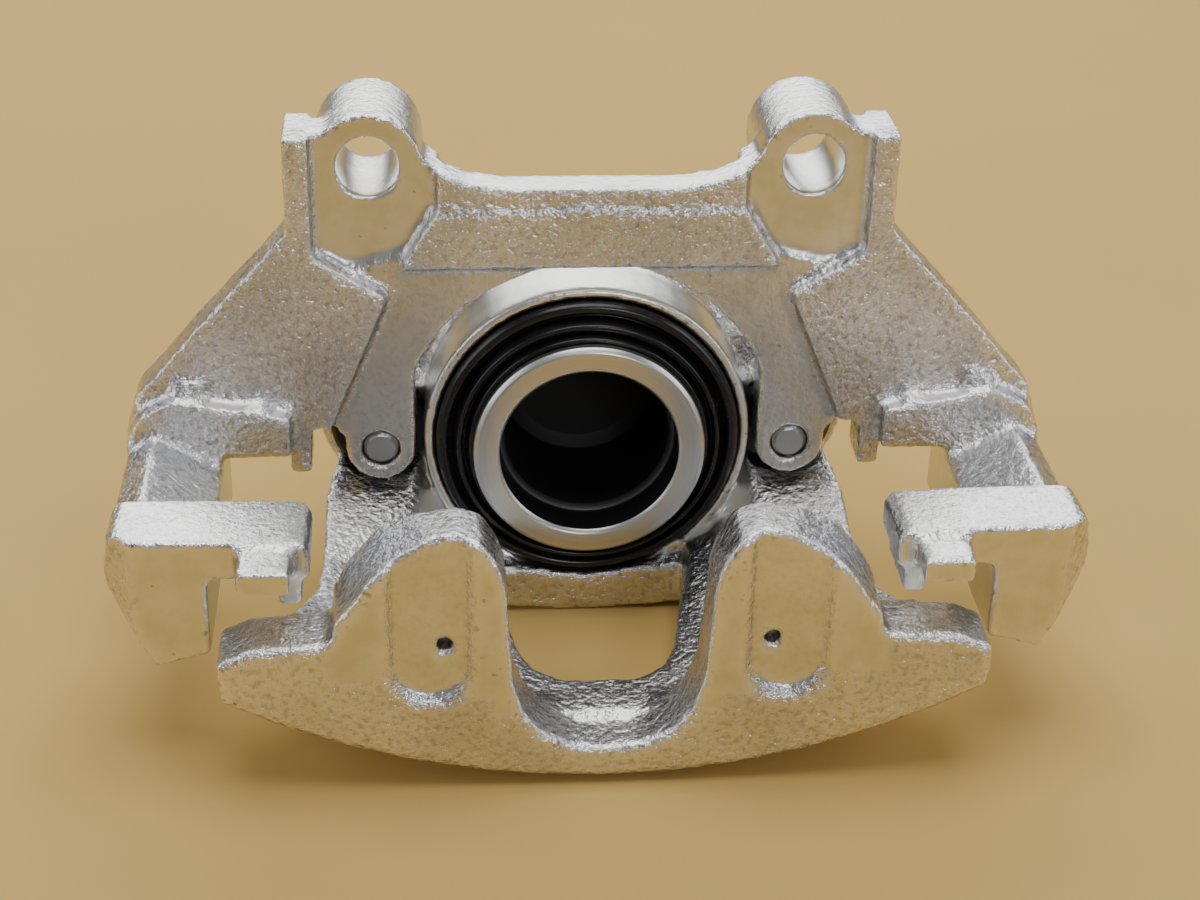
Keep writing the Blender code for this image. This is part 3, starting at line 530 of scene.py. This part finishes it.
carrier_work = merged_copy("carrier")
add_prism(carrier_work, [(-7, 58.6), (7.4, 58.6), (7.0, 61.0), (-6.6, 61.0)], 6.5, 9.5, 0.1)
CARRIER_LEDGES = [
    ([(31.6, 58.9), (37.2, 58.9), (37.2, 60.6), (31.6, 60.6)], 6.9, 0.1),
    ([(77.4, 9.0), (91.6, 8.6), (90.6, 12.4), (78.4, 13.0)], 3.6, 0.05),
    ([(92.7, 14.6), (102.0, 14.6), (100.2, 18.0), (93.4, 18.4)], 4.6, 0.1)]
for outline, front, taper in CARRIER_LEDGES:
    for ledge in (outline, mirrored(outline)):
        add_prism(carrier_work, ledge, front, 9.0, taper)
LEFTWARD, FORWARD, UPWARD = (-1, 0, 0), (0, -1, 0), (0, 0, 1)
CARRIER_SMOOTH = [
    ((0, 10.3, 40), (67, 12.5, 90), FORWARD, 1.0),
    ((0, 9, -14), (62, 10.4, 56), FORWARD, 0.55),
    ((0, 4, 58), (50, 20, 72), UPWARD, 0.75),
    ((38, 12, 70), (72, 40, 100), None, 0.6),
    ((45, 9, 60), (60, 40, 76), None, 0.85),
    ((66, -66, -30), (116, -50, 12), FORWARD, 1.0),
    ((66, -66, 4), (116, -30, 12), UPWARD, 0.45),
    ((86, -60, -25), (90, 20, 0), LEFTWARD, 1.0),
    ((74, 1, 8), (93, 9, 15), UPWARD, 0.8)]
carrier = cast("carrier_casting", carrier_work, 1.0 * MM, 8, 0.9, CARRIER_SMOOTH, (0.55, 2.6, 0.55, 1.4),
               slope_block_corners)
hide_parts("carrier")
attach(carrier, "carrier")

# %% [markdown]
# ## The housing
# The housing is one casting: cylinder, bridge and fingers. The fronts of the fingers, the
# pockets in them and the outside of the cylinder near its mouth have been cut.

# %% Housing casting
BORE_RADIUS = 28.95
BORE_FLOOR = 56.6


def true_bore(points):
    """Set the bore's wall and floor back to their true sizes, and say which points are bored."""
    reach = np.hypot(points[:, 0], points[:, 2])
    depth = points[:, 1]
    bored = (reach < 39.0) & (depth > 7.0) & (depth < 58.0)
    wall = bored & (reach > 26.5) & (reach < 30.5) & (depth > 11.5) & (depth < 56.7)
    points[wall, 0] *= BORE_RADIUS / reach[wall]
    points[wall, 2] *= BORE_RADIUS / reach[wall]
    floor = bored & (reach < 29.5) & (depth > 55.0)
    points[floor, 1] = BORE_FLOOR
    return bored


housing_work = merged_copy("caliper_housing")
HOUSING_SMOOTH = [
    ((0, -69, -19), (63, -67, 22), FORWARD, 1.0),
    ((0, -69, -24), (43, -67, 22), FORWARD, 1.0),
    ((0, -69, -29), (25, -67, 22), FORWARD, 1.0),
    ((28, -66.6, -26), (52, -65, 22), FORWARD, 0.75),
    ((0, 7, -42), (42, 9, 42), FORWARD, 1.0),
    ((0, 7, -30), (42, 25, 42), None, 0.9)]
housing = cast("housing_casting", housing_work, 1.1 * MM, 6, 0.9, HOUSING_SMOOTH, (0.45, 2.6, 0.45, 1.4),
               bore=true_bore)
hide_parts("caliper_housing")
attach(housing, "housing")


# %% [markdown]
# ## Turned pieces
# The piston, the boot, the bushes and the caps are all turned: one profile, spun about an
# axis. A profile is a list of (radius, position along the axis), both in millimetres.

# %% Turning helper
def turn(name, profile, material, placing, steps=128, closed=False):
    """Spin a profile about Y. placing is the matrix that puts it on its axis."""
    work = bmesh.new()
    rings = []
    for radius, y in profile:
        if radius == 0:
            rings.append([work.verts.new((0, y * MM, 0))])
            continue
        ring = []
        for step in range(steps):
            angle = math.tau * step / steps
            x, z = radius * MM * math.cos(angle), radius * MM * math.sin(angle)
            ring.append(work.verts.new((x, y * MM, z)))
        rings.append(ring)
    pairs = list(zip(rings, rings[1:]))
    if closed:
        pairs.append((rings[-1], rings[0]))
    for first, second in pairs:
        for i in range(steps):
            j = (i + 1) % steps
            corners = [first[i % len(first)], first[j % len(first)],
                       second[j % len(second)], second[i % len(second)]]
            unique = list(dict.fromkeys(corners))
            if len(unique) > 2:
                work.faces.new(unique)
    bmesh.ops.recalc_face_normals(work, faces=work.faces)
    if work.calc_volume(signed=True) < 0:
        bmesh.ops.reverse_faces(work, faces=work.faces)
    mesh = bpy.data.meshes.new(name)
    work.to_mesh(mesh)
    work.free()
    mesh.transform(placing)
    mesh.shade_smooth()
    mesh.set_sharp_from_angle(angle=math.radians(32))
    item = place_object(name, mesh, material)
    print(name, triangle_count(mesh), "triangles")
    return item


def rounded(profile, radius, steps=3):
    """Round the corners of an open profile with short arcs."""
    result = [profile[0]]
    for before, corner, after in zip(profile, profile[1:], profile[2:]):
        corner = Vector(corner)
        back = Vector(before) - corner
        ahead = Vector(after) - corner
        reach = min(radius, back.length * 0.45, ahead.length * 0.45)
        start = corner + back.normalized() * reach
        end = corner + ahead.normalized() * reach
        for step in range(steps + 1):
            t = step / steps
            result.append(tuple(start * (1 - t) ** 2 + corner * 2 * t * (1 - t) + end * t * t))
    result.append(profile[-1])
    return result


def on_axis(x, z):
    return Matrix.Translation((x, 0, z))


# %% Piston
piston_profile = rounded([
    (0, 42.0), (17.4, 42.0), (20.4, 40.0), (20.4, 11.0), (21.9, 10.0), (21.9, 0.9), (22.8, 0.0),
    (27.4, 0.0), (28.5, 1.1), (28.5, 3.0), (27.3, 3.0), (27.3, 5.8), (28.5, 5.8), (28.5, 48.0),
    (27.0, 50.0), (0, 50.0)], 0.35)
piston = turn("piston_turned", piston_profile, piston_steel, on_axis(0, AXIS_Z), 160)
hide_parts("piston")
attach(piston, "piston")

# %% [markdown]
# ## The dust boot
# The boot seals the piston: its bead sits in the cylinder's mouth and its lip sits in the
# piston's groove, with small steps between them. As the piston moves out, the boot
# stretches between the two; here it is one turned piece, fixed in place.

# %% Dust boot
boot_profile = rounded([
    (37.5, 12.2), (37.5, 7.5), (36.6, 6.3), (35.3, 6.1), (34.5, 6.9), (33.9, 8.2), (33.2, 6.9),
    (32.4, 4.7), (31.4, 4.6), (30.8, 6.6), (30.2, 6.2), (29.4, 3.5), (27.7, 3.5), (27.7, 5.5),
    (29.0, 5.5), (29.6, 7.4), (30.8, 8.2), (31.6, 7.4), (32.0, 6.3), (32.7, 8.2), (33.9, 9.6),
    (34.8, 8.6), (35.3, 8.2), (34.9, 12.2), (37.5, 12.2)], 0.5, 4)
boot = turn("dust_boot_folds", boot_profile[:-1], rubber, on_axis(0, AXIS_Z), 128, closed=True)
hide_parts("dust_boot")
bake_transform(boot)

# %% [markdown]
# ## Ribs that repeat
# The caps have grip ribs moulded round them. A Geometry Nodes tree makes one rib and sets
# it on the points of a circle, so the count, the length and the radius stay inputs.

# %% Grip ribs as Geometry Nodes
def make_rib_tree():
    group = bpy.data.node_groups.new("grip_ribs", "GeometryNodeTree")
    group.interface.new_socket("Geometry", in_out="INPUT", socket_type="NodeSocketGeometry")
    group.interface.new_socket("Count", in_out="INPUT", socket_type="NodeSocketInt")
    for name in ("Radius", "Middle", "Length", "Thickness"):
        group.interface.new_socket(name, in_out="INPUT", socket_type="NodeSocketFloat")
    group.interface.new_socket("Material", in_out="INPUT", socket_type="NodeSocketMaterial")
    group.interface.new_socket("Geometry", in_out="OUTPUT", socket_type="NodeSocketGeometry")
    tree = Tree(group)
    given = group.nodes.new("NodeGroupInput")

    def value(name):
        return Wire(tree, given.outputs[name])

    circle = tree.node("GeometryNodeMeshCircle", {}, {"Vertices": value("Count"), "Radius": value("Radius")})
    rib = tree.node("GeometryNodeMeshUVSphere", {}, {"Segments": 10, "Rings": 8, "Radius": 1.0})
    size = tree.node("ShaderNodeCombineXYZ", {}, {
        "X": value("Thickness"), "Y": value("Thickness"), "Z": value("Length") * 0.5})
    shaped = tree.node("GeometryNodeTransform", {}, {"Geometry": rib, "Scale": size})
    ring = tree.node("GeometryNodeInstanceOnPoints", {}, {"Points": circle, "Instance": shaped})
    lift = tree.node("ShaderNodeCombineXYZ", {}, {"Y": value("Middle")})
    turned = tree.node("GeometryNodeTransform", {}, {
        "Geometry": ring, "Translation": lift, "Rotation": (-math.pi / 2, 0, 0)})
    joined = group.nodes.new("GeometryNodeJoinGeometry")
    for part in (value("Geometry"), turned):
        group.links.new(part.socket, joined.inputs[0])
    real = tree.node("GeometryNodeRealizeInstances", {}, {0: Wire(tree, joined.outputs[0])})
    painted = tree.node("GeometryNodeSetMaterial", {}, {"Geometry": real, "Material": value("Material")})
    tree.node("NodeGroupOutput", {}, {"Geometry": painted})
    return group


rib_tree = make_rib_tree()


def ribbed(name, profile, material, placing, ribs):
    """A turned cap with grip ribs: ribs is (count, radius, middle, length, thickness), in mm."""
    item = turn(name, profile, material, Matrix(), 64)
    count, radius, middle, length, thickness = ribs
    use_tree(item, rib_tree, {"Count": count, "Radius": radius * MM, "Middle": middle * MM,
                              "Length": length * MM, "Thickness": thickness * MM, "Material": material})
    settle(item)
    item.data.transform(placing)
    item.data.shade_smooth()
    item.data.set_sharp_from_angle(angle=math.radians(40))
    print(name, "with", count, "ribs:", triangle_count(item.data), "triangles")
    return item


# %% [markdown]
# ## Bushes, caps and seal
# A rubber bush with two flanges sits in each ear of the housing, and a plastic cap closes
# its back. The bleed screw has a rubber cap of its own, and the seal hides in the bore.

# %% Bushes and pin caps
def stand_for(piece, node, body):
    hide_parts(node)
    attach(piece, body)


for side in ("left", "right"):
    pin_low, pin_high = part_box("guide_pin_" + side)
    axis = on_axis((pin_low.x + pin_high.x) / 2, (pin_low.z + pin_high.z) / 2)
    bush_profile = rounded([
        (7.3, 22.0), (6.9, 22.7), (6.1, 22.6), (6.1, 21.5), (11.5, 21.4), (12.7, 22.3), (12.2, 22.8),
        (12.7, 23.3), (12.5, 23.7), (10.2, 23.7), (10.2, 46.3), (11.9, 46.3), (11.9, 48.4), (7.3, 48.4),
        (7.3, 22.0)], 0.25)
    bush = turn("guide_bush_rubber_" + side, bush_profile[:-1], rubber, axis, 64, closed=True)
    stand_for(bush, "guide_bush_" + side, "housing")
    cap_profile = rounded([
        (0, 62.0), (7.3, 62.0), (7.3, 48.7), (11.0, 48.7), (11.0, 51.2), (9.2, 52.0), (8.6, 61.9),
        (7.2, 63.1), (0, 63.2)], 0.5)
    cap = ribbed("pin_cap_moulded_" + side, cap_profile, cap_plastic, axis, (18, 8.75, 56.8, 8.0, 0.5))
    stand_for(cap, "pin_cap_" + side, "pin_cap_" + side)

# %% Bleed cap and seal
bleed_axis = (Matrix.Translation((0, 52.5 * MM, AXIS_Z)) @ Matrix.Rotation(-math.pi / 4, 4, "Y")
              @ Matrix.Rotation(math.pi / 2, 4, "X"))
bleed_profile = rounded([
    (0, 64.0), (3.7, 64.0), (3.7, 55.0), (5.5, 55.0), (5.4, 56.2), (4.8, 57.2), (4.8, 63.2), (3.7, 65.2),
    (0, 65.2)], 0.5)
bleed_cap = ribbed("bleed_cap_moulded", bleed_profile, rubber, bleed_axis, (12, 4.75, 60.3, 4.6, 0.35))
stand_for(bleed_cap, "bleed_cap", "bleed_cap")
seal_profile = rounded([
    (28.8, 19.0), (28.8, 17.3), (31.2, 17.3), (31.2, 20.7), (28.8, 20.7), (28.8, 19.0)], 0.25)
seal = turn("piston_seal_ring", seal_profile[:-1], rubber, on_axis(0, AXIS_Z), 96, closed=True)
stand_for(seal, "piston_seal", "housing")

# %% The rest keeps its shape
FINISHES = {"guide_liner_left": liner_plastic, "guide_liner_right": liner_plastic,
            "guide_pin_left": screw_steel, "guide_pin_right": screw_steel, "bleed_screw": screw_steel}
for node, material in FINISHES.items():
    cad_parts[node].data.materials.clear()
    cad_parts[node].data.materials.append(material)
print("repainted:", list(FINISHES))

# %% [markdown]
# ## Floor and light
# The caliper lies on a plain pale tan sheet. A broad softbox above and behind it gives the
# bright tops, because a polished top sends that light straight to the camera. The fronts
# mirror the sheet, and so they turn olive gold.

# %% Floor
def make_floor():
    material, tree = surface("pale_floor")
    place = tree.node("ShaderNodeTexCoord", out="Object")
    shade = tree.mix(tree.noise(place, 6, 2), (0.56, 0.370, 0.112, 1), (0.61, 0.410, 0.132, 1))
    finish_surface(tree, {"Base Color": shade, "Roughness": 0.9, "Specular IOR Level": 0.1})
    work = bmesh.new()
    bmesh.ops.create_grid(work, x_segments=1, y_segments=1, size=3.0)
    mesh = bpy.data.meshes.new("floor")
    work.to_mesh(mesh)
    work.free()
    mesh.transform(Matrix.Translation((0, 0, -0.1 * MM)))
    return place_object("floor", mesh, material)


floor = make_floor()


# %% Lights
def soft_light(name, place, target, size, power, colour=(1, 1, 1)):
    data = bpy.data.lights.new(name, "AREA")
    data.shape = "RECTANGLE"
    data.size, data.size_y = size
    data.energy = power
    data.color = colour
    lamp = bpy.data.objects.new(name, data)
    bpy.context.scene.collection.objects.link(lamp)
    lamp.location = place
    lamp.rotation_euler = (Vector(target) - Vector(place)).to_track_quat("-Z", "Y").to_euler()
    return lamp


middle = (0, 0, 0.05)
soft_light("back_softbox", (0.0, 1.0, 0.75), middle, (1.6, 0.7), 13, (0.97, 0.98, 1.0))
soft_light("front_light", (0.3, -1.15, 0.60), middle, (0.3, 0.2), 3, (0.97, 0.98, 1.0))
soft_light("top_light", (0.0, 0.0, 1.1), middle, (0.8, 0.8), 8, (1.0, 0.99, 0.97))
soft_light("left_fill", (-1.0, -0.1, 0.5), middle, (0.5, 0.7), 3, (0.93, 0.95, 1.0))
soft_light("right_fill", (1.0, -0.1, 0.5), middle, (0.5, 0.7), 3, (0.93, 0.95, 1.0))
world = bpy.data.worlds.new("studio")
world.use_nodes = True
world.node_tree.nodes["Background"].inputs["Color"].default_value = (0.72, 0.72, 0.80, 1)
world.node_tree.nodes["Background"].inputs["Strength"].default_value = 0.24
bpy.context.scene.world = world
